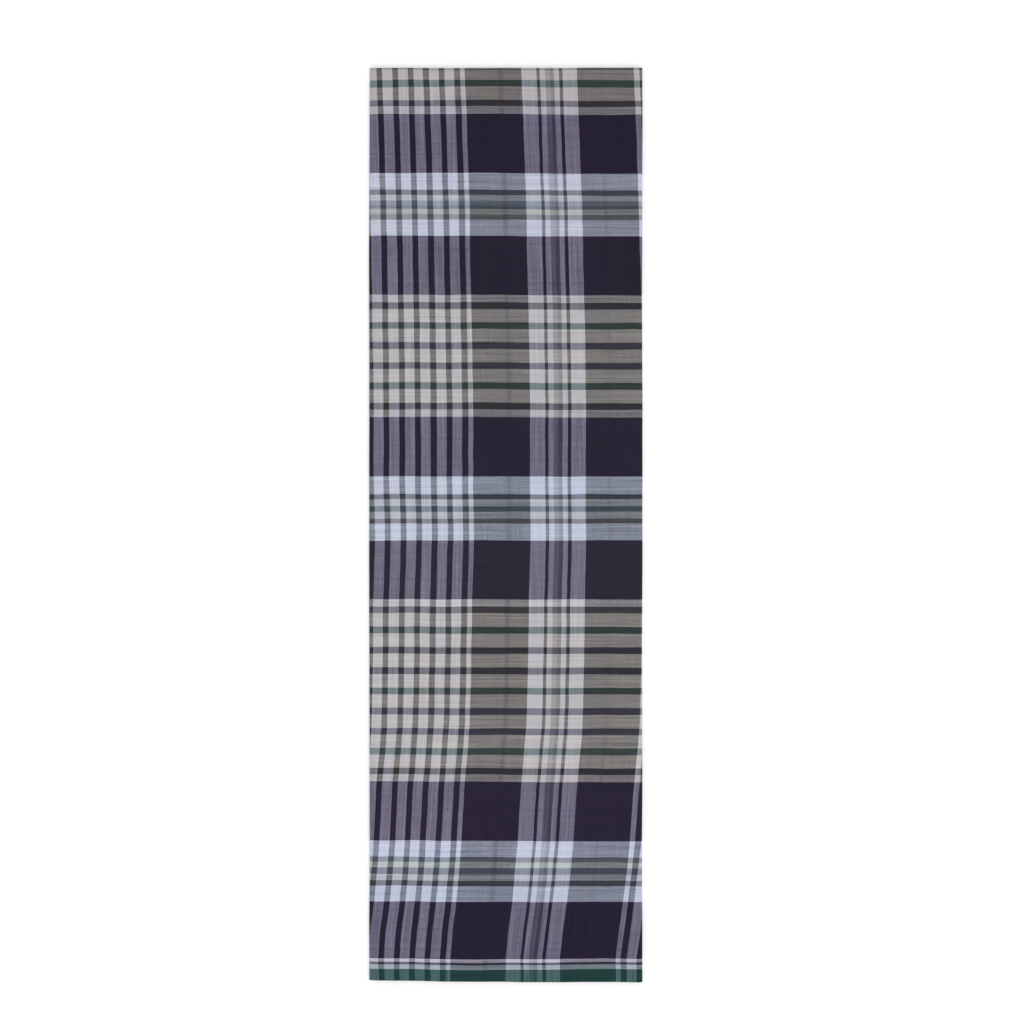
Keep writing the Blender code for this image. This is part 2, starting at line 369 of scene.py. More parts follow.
def clothShell(path, uStart, uTurn, shares, setback, outerMap, innerMap, thickness=cloth["thickness"]):
    # uStart is u at the path's first point, and uTurn is 1 or -1, as u grows or falls along the path.
    # outerMap and innerMap say where the two sides lie up the bake map, which goes from 0 to 1.
    halfWall = thickness / 2
    arc = arcLengths(path)
    u = uStart + uTurn * arc
    normals = sideNormals(path)
    columns = len(path)
    rows = len(shares)

    x0 = path[:, 0][None, :]
    z0 = path[:, 1][None, :]
    gap = setback(x0, z0)
    hem = hemAt(x0) + gap
    waist = waistAt(x0) - gap
    y = hem + shares[:, None] * (waist - hem)
    waver = softWaves(x0, y, 71, 0.03, 0.12, depthPhase=z0 / pitch * 2)
    y = y + (2 * shares[:, None] - 1) * cloth["rowWave"] * waver
    fromEnd = np.minimum(shares, 1 - shares)[:, None] * garmentLength
    wall = halfWall + cloth["selvedgeBead"] / 2 * ease(1 - fromEnd / cloth["selvedgeReach"])

    def surface(side, rowsOfY, rowsOfWall):
        sx = x0 + normals[:, 0][None, :] * side * rowsOfWall
        sz = np.maximum(z0 + normals[:, 1][None, :] * side * rowsOfWall, 0.0)
        sx, sy, sz = settle(sx, rowsOfY, sz)
        return np.stack(np.broadcast_arrays(sx, sy, sz), axis=-1).reshape(-1, 3)

    outward = cloth["edgeRounding"]
    points = np.concatenate([
        surface(1, y, wall),
        surface(-1, y, wall),
        surface(0, y[:1] - outward, wall[:1]),
        surface(0, y[-1:] + outward, wall[-1:]),
    ])
    places = []
    for rowsOfY in (y, y, y[:1] - outward, y[-1:] + outward):
        uv = np.broadcast_arrays(*clothPlace(x0, rowsOfY, u[None, :]))
        places.append(np.stack(uv, axis=-1).reshape(-1, 2))
    places = np.concatenate(places)

    outer = np.arange(rows * columns).reshape(rows, columns)
    inner = outer + rows * columns
    hemRim = 2 * rows * columns + np.arange(columns)
    waistRim = hemRim + columns

    margin = 0.003
    across = margin + (1 - 2 * margin) * arc / arc[-1]
    acrossAll = np.tile(across, rows)
    rim = 0.005
    quads = []
    maps = []

    def addQuads(corners, spots, turned):
        way = -1 if turned else 1
        quads.append(np.stack(corners[::way], axis=-1).reshape(-1, 4))
        maps.append(np.stack(spots[::way], axis=-2).reshape(-1, 4, 2))

    def upBy(sideMap):
        return sideMap[0] + (sideMap[1] - sideMap[0]) * shares

    def grid(index, sideMap, turned):
        spot = np.stack([acrossAll, np.repeat(upBy(sideMap), columns)], axis=-1)
        spot = spot.reshape(rows, columns, 2)
        low = slice(None, -1)
        high = slice(1, None)
        order = [(low, low), (low, high), (high, high), (high, low)]
        addQuads([index[s] for s in order], [spot[s] for s in order], turned)

    grid(outer, outerMap, False)
    grid(inner, innerMap, True)

    def strip(first, second, firstUp, secondUp, turned):
        a = np.stack([across, np.full(columns, firstUp)], axis=-1)
        b = np.stack([across, np.full(columns, secondUp)], axis=-1)
        corners = [first[:-1], second[:-1], second[1:], first[1:]]
        addQuads(corners, [a[:-1], b[:-1], b[1:], a[1:]], turned)

    strip(outer[0], hemRim, outerMap[0], outerMap[0] - rim, False)
    strip(hemRim, inner[0], outerMap[0] - rim, outerMap[0] - 2 * rim, False)
    strip(outer[-1], waistRim, outerMap[1], outerMap[1] + rim, True)
    strip(waistRim, inner[-1], outerMap[1] + rim, outerMap[1] + 2 * rim, True)

    def endCap(column, turned):
        a = np.stack([np.full(rows, across[column]), upBy(outerMap)], axis=-1)
        b = a + np.array([0.8 * margin if column else -0.8 * margin, 0.0])
        corners = [outer[:-1, column], outer[1:, column], inner[1:, column], inner[:-1, column]]
        addQuads(corners, [a[:-1], a[1:], b[1:], b[:-1]], turned)

    endCap(0, False)
    endCap(columns - 1, True)
    quads = np.concatenate(quads)
    triangles = np.array([
        (outer[0, 0], inner[0, 0], hemRim[0]),
        (outer[-1, 0], waistRim[0], inner[-1, 0]),
        (outer[0, -1], hemRim[-1], inner[0, -1]),
        (outer[-1, -1], inner[-1, -1], waistRim[-1]),
    ])
    corners = np.concatenate([quads.reshape(-1), triangles.reshape(-1)])
    spots = [np.concatenate(maps).reshape(-1, 2), np.full((triangles.size, 2), 0.5 * margin)]
    return {
        "points": points,
        "faces": quads.tolist() + triangles.tolist(),
        "cloth": places[corners],
        "bake": np.concatenate(spots),
        "width": float(arc[-1]),
    }


def combined(*shells):
    # several closed shells as one mesh's data
    faces = []
    offset = 0
    for shell in shells:
        faces += [[i + offset for i in face] for face in shell["faces"]]
        offset += len(shell["points"])
    whole = {key: np.concatenate([shell[key] for shell in shells]) for key in ("points", "cloth", "bake")}
    whole["faces"] = faces
    return whole


def addObject(name, data):
    made = bpy.data.objects.new(name, data)
    bpy.context.scene.collection.objects.link(made)
    return made


def printTriangles(name, mesh):
    print(name, "has", sum(len(p.vertices) - 2 for p in mesh.polygons), "triangles")


def addPiece(name, shell, material):
    mesh = bpy.data.meshes.new(name)
    mesh.from_pydata(shell["points"].tolist(), [], shell["faces"])
    for mapName, spots in (("cloth", shell["cloth"]), ("OFBake", shell["bake"])):
        layer = mesh.uv_layers.new(name=mapName)
        layer.data.foreach_set("uv", np.asarray(spots, dtype=np.float32).reshape(-1))
    mesh.uv_layers.active = mesh.uv_layers["cloth"]
    mesh.uv_layers["cloth"].active_render = True
    mesh.shade_smooth()
    mesh.set_sharp_from_angle(angle=math.radians(cloth["smoothAngle"]))
    mesh.materials.append(material)
    printTriangles(name, mesh)
    return addObject(name, mesh)


# Node helpers

def feed(tree, socket, value):
    # links another node's socket, or sets a plain value
    if isinstance(value, bpy.types.NodeSocket):
        tree.links.new(value, socket)
    else:
        socket.default_value = value


def feedAll(tree, sockets, values):
    for socket, value in zip(sockets, values):
        feed(tree, socket, value)


def fill(tree, node, values):
    feedAll(tree, [node.inputs[name] for name in values], values.values())
    return node


def addNode(tree, kind, values):
    return fill(tree, tree.nodes.new(kind), values)


def shown(sockets):
    # those that the node's present settings use
    return [socket for socket in sockets if socket.enabled]


def addMath(tree, operation, *values, kind="ShaderNodeMath"):
    node = tree.nodes.new(kind)
    node.operation = operation
    feedAll(tree, node.inputs, values)
    return node.outputs[0]


def addVectorMath(tree, operation, *values):
    return addMath(tree, operation, *values, kind="ShaderNodeVectorMath")


def addMix(tree, factor, a, b, kind="RGBA"):
    node = tree.nodes.new("ShaderNodeMix")
    node.data_type = kind
    node.clamp_factor = True
    feedAll(tree, shown(node.inputs), (factor, a, b))
    return shown(node.outputs)[0]


def addNoise(tree, vector, scale, detail=2.0, roughness=0.5):
    values = {"Vector": vector, "Scale": scale, "Detail": detail, "Roughness": roughness}
    return addNode(tree, "ShaderNodeTexNoise", values)


def addBump(tree, height, strength=1.0, distance=1.0):
    values = {"Height": height, "Strength": strength, "Distance": distance}
    return addNode(tree, "ShaderNodeBump", values).outputs["Normal"]


def addCombine(tree, x, y, z):
    return addNode(tree, "ShaderNodeCombineXYZ", {"X": x, "Y": y, "Z": z}).outputs["Vector"]


def objectPlace(tree):
    return tree.nodes.new("ShaderNodeTexCoord").outputs["Object"]


def newMaterial(name):
    material = bpy.data.materials.new(name)
    material.use_nodes = True
    return material, material.node_tree, material.node_tree.nodes["Principled BSDF"]


def newGroup(name, kind, inputs, outputs):
    # inputs and outputs give each socket's name and its kind
    tree = bpy.data.node_groups.new(name, kind)
    for way, sockets in (("INPUT", inputs), ("OUTPUT", outputs)):
        for socketName, socketKind in sockets.items():
            tree.interface.new_socket(socketName, in_out=way, socket_type="NodeSocket" + socketKind)
    return tree, tree.nodes.new("NodeGroupInput").outputs, tree.nodes.new("NodeGroupOutput").inputs


def useGroup(tree, group, values):
    node = tree.nodes.new("ShaderNodeGroup")
    node.node_tree = group
    return fill(tree, node, values).outputs


# Yarn colours as a colour picker shows them, from 0 to 255
dyes = {
    "navy": (42, 38, 52),
    "navyWaist": (35, 30, 45),
    "navySecond": (38, 34, 47),
    "navyMiddle": (50, 46, 58),
    "navyLow": (44, 38, 54),
    "navyHem": (37, 32, 49),
    "ink": (71, 72, 74),
    "inkDeep": (60, 63, 59),
    "inkSoft": (74, 76, 81),
    "darkLine": (60, 60, 56),
    "darkLineSoft": (78, 78, 72),
    "greenLine": (60, 85, 65),
    "greenLineSoft": (74, 98, 82),
    "edgeShadow": (112, 108, 104),
    "white": (211, 225, 238),
    "whiteWaist": (210, 218, 231),
    "whiteLow": (216, 228, 246),
    "whiteHem": (205, 219, 236),
    "beigeWaist": (185, 179, 164),
    "beigeThin": (174, 171, 170),
    "beige": (197, 195, 179),
    "beigeCool": (181, 183, 174),
    "beigeEnd": (191, 187, 178),
    "beigeLow": (204, 201, 184),
    "beigePale": (212, 211, 203),
    "slate": (73, 87, 86),
    "slateWaist": (81, 92, 90),
    "slateSoft": (98, 105, 100),
    "slateWarm": (110, 122, 118),
    "slatePale": (110, 126, 128),
    "sage": (187, 199, 198),
    "sageWarm": (170, 184, 168),
    "sageLow": (194, 212, 198),
    "teal": (84, 105, 108),
    "tealLow": (98, 110, 119),
    "tealSoft": (122, 134, 142),
    "hemPale": (204, 198, 212),
    "hemGap": (58, 58, 69),
    "hemTeal": (158, 174, 180),
    "selvedgeGreen": (33, 71, 62),
    "weftLight": (178, 174, 196),
    "weftAsh": (120, 116, 134),
    "weftGrey": (94, 90, 108),
}


def dyeColour(name):
    # the linear value that a shader socket wants
    channels = [c / 255 for c in dyes[name]]
    linear = [c / 12.92 if c <= 0.04045 else ((c + 0.055) / 1.055) ** 2.4 for c in channels]
    return (*linear, 1.0)


# The check's chart. Widths are in millimetres.

def beigeGroup(first, fill, last, lines):
    bands = [first]
    for line in lines:
        bands += [(line, 8.2), (fill, 16.4)]
    bands[-1] = last
    return bands


shortLines = ["darkLine", "greenLine", "ink", "ink", "greenLine", "darkLine"]
longLines = ["darkLineSoft", "greenLine", "inkDeep", "inkDeep", "greenLine"]
longLines += ["inkSoft", "inkSoft", "greenLineSoft", "darkLine"]

hemLines = [("hemPale", 4.3), ("hemGap", 3.0), ("hemTeal", 5.6)]

# from the waist down to the hem
warpChart = [
    ("beigeWaist", 2.05), ("edgeShadow", 1.6), ("beigeWaist", 11.6), ("greenLine", 8.0), ("beigeWaist", 16.3),
    ("darkLine", 7.8), ("beigeThin", 9.3), ("navyWaist", 72.1),
    ("whiteWaist", 20.2), ("slateWaist", 6.1), ("sage", 7.0), ("tealSoft", 5.9), ("teal", 4.0),
    ("sageWarm", 6.7), ("slateWarm", 6.6), ("whiteWaist", 20.3), ("navySecond", 73.0),
    *beigeGroup(("beigeCool", 9.2), "beige", ("beigeCool", 9.2), shortLines),
    ("navy", 71.6), ("white", 21.3), ("slate", 6.0), ("sage", 8.5), ("teal", 7.0),
    ("sage", 8.5), ("slateSoft", 6.0), ("white", 21.3), ("navyMiddle", 72.5),
    *beigeGroup(("beigePale", 8.6), "beigeLow", ("beigeEnd", 8.6), longLines),
    ("navyLow", 72.5), ("whiteLow", 19.6), ("slatePale", 5.9), ("sageLow", 7.0), ("tealLow", 8.0),
    ("sage", 7.7), ("slate", 6.5), ("whiteHem", 19.6), ("navyHem", 69.6),
    *hemLines, ("selvedgeGreen", 20.0),
]

# round the tube, from left to right
weftChart = [
    ("navy", 69.1), ("weftLight", 18.1), ("navy", 4.3), ("weftLight", 6.6), ("weftAsh", 5.7),
    ("weftGrey", 4.6), ("weftLight", 6.5), ("navy", 4.2), ("weftLight", 17.6), ("navy", 69.8),
    ("weftLight", 6.5), ("navy", 7.2), *[("weftLight", 11.9), ("navy", 7.2)] * 9, ("weftLight", 6.1),
]


def chartLength(chart):
    return sum(width for _, width in chart) / 1000


weftStart = -0.0390  # u at the chart's start
weftRepeat = chartLength(weftChart)
selvedgeStart = chartLength(warpChart[:-1])
hemLineStart = selvedgeStart - chartLength(hemLines)


def buildBandGroup(name, chart):
    # the colour of the yarn at a place along the chart
    tree, given, result = newGroup(name, "ShaderNodeTree", {"Place": "Float"}, {"Colour": "Color"})
    colour = dyeColour(chart[0][0])
    edge = 0.0
    for (_, width), (nextDye, _) in zip(chart, chart[1:]):
        edge += width / 1000
        past = addMath(tree, "GREATER_THAN", given["Place"], edge)
        colour = addMix(tree, past, colour, dyeColour(nextDye))
    feed(tree, result["Colour"], colour)
    return tree


weave = {
    "warpPitch": 0.00040,
    "weftPitch": 0.00044,
    "wander": 0.0009,  # how far yarns stray from straight
    "wanderScale": 26.0,
    "yarnContrast": 0.50,  # how much single yarns show
    "yarnUnevenness": 0.16,
    "stretches": 42.0,  # thick and thin stretches of a yarn to the metre
    "warpStreaks": 0.32,  # how far bundles of warp come forward of the weft
    "weftStreaks": 0.31,
    "barre": 0.15,  # long bands where the whole warp lies tighter or looser
    "streakDepth": 0.21,  # bundles of yarn a little lighter or darker
    "hueDrift": 0.05,
    "toneDepth": 0.030,
    "toneScale": 14.0,
    # painted shade: how much darker the gaps between the yarns are painted than their crowns
    "gapShadeDepth": 0.30,
    "yarnHeight": 0.00005,
    "rumpleHeight": 0.00010,
    "rumpleScale": 120.0,
    "roughness": 0.92,
    "crownGloss": 0.08,  # how much smoother the crowns of the yarns are
    "hemLineCover": 0.11,  # the warp is set closer in the hem's lines, and closer still in its selvedge
    "selvedgeCover": 0.12,
    # from a colour as it looks in the studio's light to the cloth's own
    "lightGain": (0.955, 0.965, 0.977),
    "lightLoss": (0.0030, 0.0036, 0.0030),
}

# Where the weft is packed tighter. place is along the weft's chart.
packedLines = [
    {"place": 0.0433, "width": 0.0060, "more": 0.09},
    {"place": 0.1661, "width": 0.0050, "more": 0.03},
]

# Bundles of yarn: how many there are to the metre along u and v, and the noise's seed and detail
streakFields = {
    "warp": (9.0, 430.0, 3.0, 3.0),
    "weft": (400.0, 10.0, 8.0, 3.0),
    "barre": (2.2, 210.0, 15.0, 3.0),
    "warpHue": (5.0, 150.0, 21.0, 2.0),
    "weftHue": (150.0, 5.0, 27.0, 2.0),
}


def buildWeaveGroup():
    inputs = {"Cloth": "Vector", "Yarn Contrast": "Float", "Unevenness": "Float", "Painted Shade": "Float"}
    outputs = {"Colour": "Color", "Height": "Float", "Roughness": "Float"}
    tree, given, result = newGroup("plaidWeave", "ShaderNodeTree", inputs, outputs)
    warpBands = buildBandGroup("warpBands", warpChart)
    weftBands = buildBandGroup("weftBands", weftChart)

    def plus(a, b):
        return addMath(tree, "ADD", a, b)

    def minus(a, b):
        return addMath(tree, "SUBTRACT", a, b)

    def times(a, b):
        return addMath(tree, "MULTIPLY", a, b)

    def timesPlus(a, b, c):
        return addMath(tree, "MULTIPLY_ADD", a, b, c)

    def scaled(colour, share):
        node = addVectorMath(tree, "SCALE", colour).node
        feed(tree, node.inputs["Scale"], share)
        return node.outputs["Vector"]

    # yarns stray a little from straight
    place = given["Cloth"]
    wander = addNoise(tree, place, weave["wanderScale"], 3.0).outputs["Color"]
    wander = addVectorMath(tree, "SUBTRACT", wander, (0.5, 0.5, 0.5))
    strayed = addVectorMath(tree, "MULTIPLY_ADD", wander, (weave["wander"] * 2,) * 3, place)
    split = addNode(tree, "ShaderNodeSeparateXYZ", {"Vector": strayed})
    u = split.outputs["X"]
    v = split.outputs["Y"]

    # which yarn, and where across it
    warpCount = addMath(tree, "DIVIDE", v, weave["warpPitch"])
    weftCount = addMath(tree, "DIVIDE", u, weave["weftPitch"])
    warpYarn = addMath(tree, "FLOOR", warpCount)
    weftYarn = addMath(tree, "FLOOR", weftCount)
    warpPlace = times(plus(warpYarn, 0.5), weave["warpPitch"])
    weftPlace = times(plus(weftYarn, 0.5), weave["weftPitch"])
    weftPlace = addMath(tree, "FLOORED_MODULO", minus(weftPlace, weftStart), weftRepeat)
    warpColour = useGroup(tree, warpBands, {"Place": warpPlace})["Colour"]
    weftColour = useGroup(tree, weftBands, {"Place": weftPlace})["Colour"]
    warpOnTop = addMath(tree, "FLOORED_MODULO", plus(warpYarn, weftYarn), 2.0)

    # bundles of yarn that lie forward, and that took the dye a little differently
    def streak(name):
        alongU, alongV, seed, detail = streakFields[name]
        spot = addCombine(tree, times(u, alongU), times(v, alongV), seed)
        return minus(addNoise(tree, spot, 1.0, detail).outputs["Fac"], 0.5)

    warpStreak = streak("warp")
    weftStreak = streak("weft")

    # how much of the warp covers the weft
    cover = timesPlus(addMath(tree, "GREATER_THAN", v, hemLineStart), weave["hemLineCover"], 0.5)
    cover = timesPlus(addMath(tree, "GREATER_THAN", v, selvedgeStart), weave["selvedgeCover"], cover)
    for line in packedLines:
        off = addMath(tree, "DIVIDE", minus(weftPlace, line["place"]), line["width"] / 2)
        near = addMath(tree, "EXPONENT", times(times(off, off), -1.0))
        cover = timesPlus(near, -line["more"], cover)
    cover = timesPlus(warpStreak, weave["warpStreaks"], cover)
    cover = timesPlus(weftStreak, -weave["weftStreaks"], cover)
    cover = timesPlus(streak("barre"), weave["barre"], cover)

    # the colour from afar mixes as the eye sees it, and single yarns vary round it
    def gamma(colour, power):
        return addNode(tree, "ShaderNodeGamma", {"Color": colour, "Gamma": power}).outputs["Color"]

    afar = gamma(addMix(tree, cover, gamma(weftColour, 1 / 2.2), gamma(warpColour, 1 / 2.2)), 2.2)
    even = scaled(addVectorMath(tree, "ADD", warpColour, weftColour), 0.5)
    tint = addVectorMath(tree, "DIVIDE", addMix(tree, warpOnTop, weftColour, warpColour), even)
    tint = addMix(tree, given["Yarn Contrast"], (1.0, 1.0, 1.0, 1.0), tint)
    colour = addVectorMath(tree, "MULTIPLY", afar, tint)

    # yarn relief, 0 in the gaps to 1 on the crowns
    def crown(count):
        return addMath(tree, "SINE", times(addMath(tree, "FRACT", count), math.pi))

    warpCrown = crown(warpCount)
    weftCrown = crown(weftCount)
    warpRelief = times(warpCrown, timesPlus(weftCrown, 0.45, 0.55))
    weftRelief = times(weftCrown, timesPlus(warpCrown, 0.45, 0.55))
    relief = addMix(tree, warpOnTop, weftRelief, warpRelief, "FLOAT")
    meanRelief = 0.5325

    # every yarn has its own depth of colour, and thick and thin stretches
    def yarnTone(yarn, along, seed):
        spot = addCombine(tree, times(along, weave["stretches"]), times(yarn, 3.71), seed)
        stretches = addNoise(tree, spot, 1.0, 1.0).outputs["Fac"]
        fixed = tree.nodes.new("ShaderNodeTexWhiteNoise")
        fixed.noise_dimensions = "1D"
        feed(tree, fixed.inputs["W"], plus(yarn, seed * 17.3))
        return plus(stretches, timesPlus(fixed.outputs["Value"], 0.5, -0.75))

    ownTone = addMix(tree, warpOnTop, yarnTone(weftYarn, v, 2.0), yarnTone(warpYarn, u, 5.0), "FLOAT")
    tone = timesPlus(ownTone, given["Unevenness"], 1.0)
    streaks = timesPlus(plus(warpStreak, weftStreak), weave["streakDepth"] * 2, 1.0)
    drift = times(plus(streak("warpHue"), streak("weftHue")), weave["hueDrift"] * 2)
    warmth = addCombine(tree, plus(1.0, drift), 1.0, minus(1.0, drift))
    colour = addVectorMath(tree, "MULTIPLY", colour, warmth)
    broad = addNoise(tree, place, weave["toneScale"]).outputs["Fac"]
    broad = timesPlus(broad, weave["toneDepth"] * 2, 1 - weave["toneDepth"])
    # painted shade: the colour is darkened in the gaps between the yarns and lightened on their crowns,
    # keeping its mean; the plies under the shown one are painted darker too
    paintedGapShade = timesPlus(relief, weave["gapShadeDepth"], 1 - weave["gapShadeDepth"] * meanRelief)
    for share in (tone, streaks, broad, paintedGapShade, given["Painted Shade"]):
        colour = scaled(colour, share)

    loss = tuple(-c for c in weave["lightLoss"])
    colour = addVectorMath(tree, "MULTIPLY_ADD", colour, weave["lightGain"], loss)
    colour = addVectorMath(tree, "MAXIMUM", colour, (0.001, 0.001, 0.001))
    feed(tree, result["Colour"], colour)

    rumple = addNoise(tree, place, weave["rumpleScale"], 2.0, 0.4).outputs["Fac"]
    height = times(rumple, weave["rumpleHeight"])
    height = timesPlus(relief, weave["yarnHeight"], height)
    height = timesPlus(ownTone, weave["yarnHeight"] / 2, height)
    feed(tree, result["Height"], height)
    feed(tree, result["Roughness"], timesPlus(relief, -weave["crownGloss"], weave["roughness"]))
    return tree


weaveGroup = buildWeaveGroup()
print("weave group built")

finish = {
    "specular": 0.08,
    "sheen": 0.05,
    "sheenRoughness": 0.5,
    # painted shade: the plies under the shown one are painted darker by this factor
    "hiddenPaintedShade": 0.97,  # how light the plies under the shown one are
    # painted shade: the seam's cloth is painted darker still
    "seamPaintedShade": 0.96,
}


def buildClothMaterial(name, paintedShade, unevenness=weave["yarnUnevenness"]):
    material, tree, shader = newMaterial(name)
    uvMap = tree.nodes.new("ShaderNodeUVMap")
    uvMap.uv_map = "cloth"
    woven = useGroup(tree, weaveGroup, {
        "Cloth": uvMap.outputs["UV"],
        "Yarn Contrast": weave["yarnContrast"],
        "Unevenness": unevenness,
        "Painted Shade": paintedShade,
    })
    fill(tree, shader, {
        "Base Color": woven["Colour"],
        "Roughness": woven["Roughness"],
        "Normal": addBump(tree, woven["Height"]),
        "Specular IOR Level": finish["specular"],
        "Sheen Weight": finish["sheen"],
        "Sheen Roughness": finish["sheenRoughness"],
    })
    return material


# The under, inner and seam cloth are the shown cloth's material with painted shade, darker by the factors
# above
plaidShown = buildClothMaterial("plaidShown", 1.0)
plaidUnder = buildClothMaterial("plaidUnder", finish["hiddenPaintedShade"])
plaidInner = buildClothMaterial("plaidInner", finish["hiddenPaintedShade"])
plaidSeam = buildClothMaterial("plaidSeam", finish["seamPaintedShade"], weave["yarnUnevenness"] * 1.2)

# The shown cloth: ply 1, both folds and the first millimetres underneath

shownPiece = {
    "step": 0.0035,
    "tailStep": 0.0017,
    "rowStep": 0.0044,
    "outerMap": (0.075, 0.985),
    "innerMap": (0.004, 0.050),
}
tail = cloth["foldTail"]
shownPath = joined(
    flatRun(leftFoldX + tail, leftFoldX, level(4), shownPiece["tailStep"]),
    foldArc(leftFoldX, -1, level(4), level(1), cloth["leftFoldReach"]),
    flatRun(leftFoldX, rightFoldX, level(1), shownPiece["step"]),
    foldArc(rightFoldX, 1, level(1), level(6), cloth["rightFoldReach"]),
    flatRun(rightFoldX, rightFoldX - tail, level(6), shownPiece["tailStep"]),
)
shownArc = arcLengths(shownPath)
firstOnTop = int(np.argmin(np.hypot(shownPath[:, 0] - leftFoldX, shownPath[:, 1] - level(1))))
shownStart = leftFoldX - float(shownArc[firstOnTop])  # u where the left tail ends
shownEnd = shownStart + float(shownArc[-1])  # u where the right tail ends
shownShell = clothShell(
    shownPath, shownStart, 1, rowShares(shownPiece["rowStep"]),
    lambda x, z: np.zeros_like(x), shownPiece["outerMap"], shownPiece["innerMap"],
)
shownCloth = addPiece("shownCloth", shownShell, plaidShown)

# The under cloth: ply 6, from the right fold to the side seam

underPiece = {"step": 0.0050, "rowStep": 0.0060, "setback": 0.0006}  # its maps are the shown cloth's


def underSetback(x, z):
    return underPiece["setback"] * ease((rightFoldX - tail - x) / cloth["setbackReach"])


underPath = joined(flatRun(rightFoldX - tail, seamInnerX, level(6), underPiece["step"]))
underShell = clothShell(
    underPath, shownEnd, 1, rowShares(underPiece["rowStep"]),
    underSetback, shownPiece["outerMap"], shownPiece["innerMap"],
)
underCloth = addPiece("underCloth", underShell, plaidUnder)
underEnd = shownEnd + underShell["width"]

# The hidden plies: 5, inner right fold, 2, inner left fold, 3, tucked tube edge, 4

innerPiece = {
    "step": 0.0065,
    "rowStep": 0.030,
    "setback": 0.0010,
    "tuckedSetback": 0.0024,
    "outerMap": (0.510, 0.985),
    "innerMap": (0.010, 0.480),
}
reachRight = cloth["rightFoldReach"] - pitch
reachLeft = cloth["leftFoldReach"] - pitch
tuckedReach = (level(3) - level(4)) / 2
tuckedX = rightFoldX + reachRight - cloth["tuckedEdgeClearance"] - 2 * half - tuckedReach


def innerSetback(x, z):
    tucked = ease((level(2) - z) / pitch) * ease((z - level(5)) / pitch)
    amount = innerPiece["setback"] + (innerPiece["tuckedSetback"] - innerPiece["setback"]) * tucked
    onPlyFour = ease((level(3) - z) / pitch) * ease((z - level(5)) / pitch)
    away = ease((x - leftFoldX - tail) / cloth["setbackReach"])
    return amount * (1 - onPlyFour * (1 - away))


innerPath = joined(
    flatRun(leftFoldX + tail, tuckedX, level(4), innerPiece["step"]),
    foldArc(tuckedX, 1, level(4), level(3), tuckedReach, 10),
    flatRun(tuckedX, leftFoldX, level(3), innerPiece["step"]),
    foldArc(leftFoldX, -1, level(3), level(2), reachLeft, 12),
    flatRun(leftFoldX, rightFoldX, level(2), innerPiece["step"]),
    foldArc(rightFoldX, 1, level(2), level(5), reachRight, 14),
    flatRun(rightFoldX, seamInnerX, level(5), innerPiece["step"]),
)
innerShell = clothShell(
    innerPath, shownStart, -1, rowShares(innerPiece["rowStep"]),
    innerSetback, innerPiece["outerMap"], innerPiece["innerMap"],
)
innerCloth = addPiece("innerCloth", innerShell, plaidInner)

# The side seam: plies 6 and 5 round the tube's edge, with both seam allowances felled between them

seamPiece = {
    "step": 0.0007,
    "rowStep": 0.0075,
    "setback": 0.0004,
    "threadLift": 0.00015,  # the stitches hold the cloth this far off the table
    "liftReach": 0.0015,
    "allowanceThickness": 0.00034,
    "allowanceInset": 0.0016,
    "allowanceShare": 0.27,  # of the room between them, how far each allowance is from the cloth it lies on
    "allowanceGap": 0.0003,
    "stitchRows": (0.0019, 0.0083),  # from the tube's edge
    "stitchPitch": 0.0026,
    "stitchLength": 0.0019,
    "stitchWander": 0.00012,
    "stitchTilt": 5,  # degrees
    "threadWidth": 0.00034,
}
seamLevel = level(6) + seamPiece["threadLift"]
seamReach = (level(5) - seamLevel) / 2
seamEdgeX = freeEdgeX + half + seamReach


def seamLift(x):
    return seamPiece["threadLift"] * float(ease((seamInnerX - x) / seamPiece["liftReach"]))


seamRise = flatRun(seamInnerX, seamEdgeX, level(6), seamPiece["step"])
seamPath = joined(
    [(x, z + seamLift(x)) for x, z in seamRise],
    foldArc(seamEdgeX, -1, seamLevel, level(5), seamReach, 10),
    flatRun(seamEdgeX, seamInnerX, level(5), seamPiece["step"]),
)


def seamSetback(x, z):
    return np.full_like(x, seamPiece["setback"])


seamRows = rowShares(seamPiece["rowStep"])
seamOuter = clothShell(seamPath, underEnd, 1, seamRows, seamSetback, (0.40, 0.985), (0.004, 0.16))
allowanceRoom = level(5) - seamLevel - 2 * half
allowanceLow = seamLevel + half + allowanceRoom * seamPiece["allowanceShare"]
allowanceHigh = level(5) - half - allowanceRoom * seamPiece["allowanceShare"]
allowanceX = freeEdgeX + seamPiece["allowanceInset"]
allowanceEndX = seamInnerX - seamPiece["allowanceGap"]
allowancePath = joined(
    flatRun(allowanceEndX, allowanceX, allowanceLow, seamPiece["step"] * 2),
    foldArc(allowanceX, -1, allowanceLow, allowanceHigh, 0.0003, 6),
    flatRun(allowanceX, allowanceEndX, allowanceHigh, seamPiece["step"] * 2),
)
allowance = clothShell(
    allowancePath, underEnd, 1, seamRows, lambda x, z: seamSetback(x, z) + seamPiece["allowanceGap"],
    (0.20, 0.36), (0.17, 0.185), seamPiece["allowanceThickness"],
)
seamFell = addPiece("seamFell", combined(seamOuter, allowance), plaidSeam)
print("cloth shells built")


# Stitches along the seam, repeated by Geometry Nodes

thread = {
    "pale": (0.56, 0.53, 0.46, 1.0),
    "worn": (0.44, 0.42, 0.38, 1.0),
    # painted shade: the thread is painted darker in the grooves between its twisted strands
    "paintedGrooveShade": (0.26, 0.25, 0.24, 1.0),  # between the twisted strands
    "grooveShadeShare": 0.35,
    "grooveDepth": 0.00008,
    "twist": 900.0,
    "roughness": 0.7,
    "specular": 0.3,
}


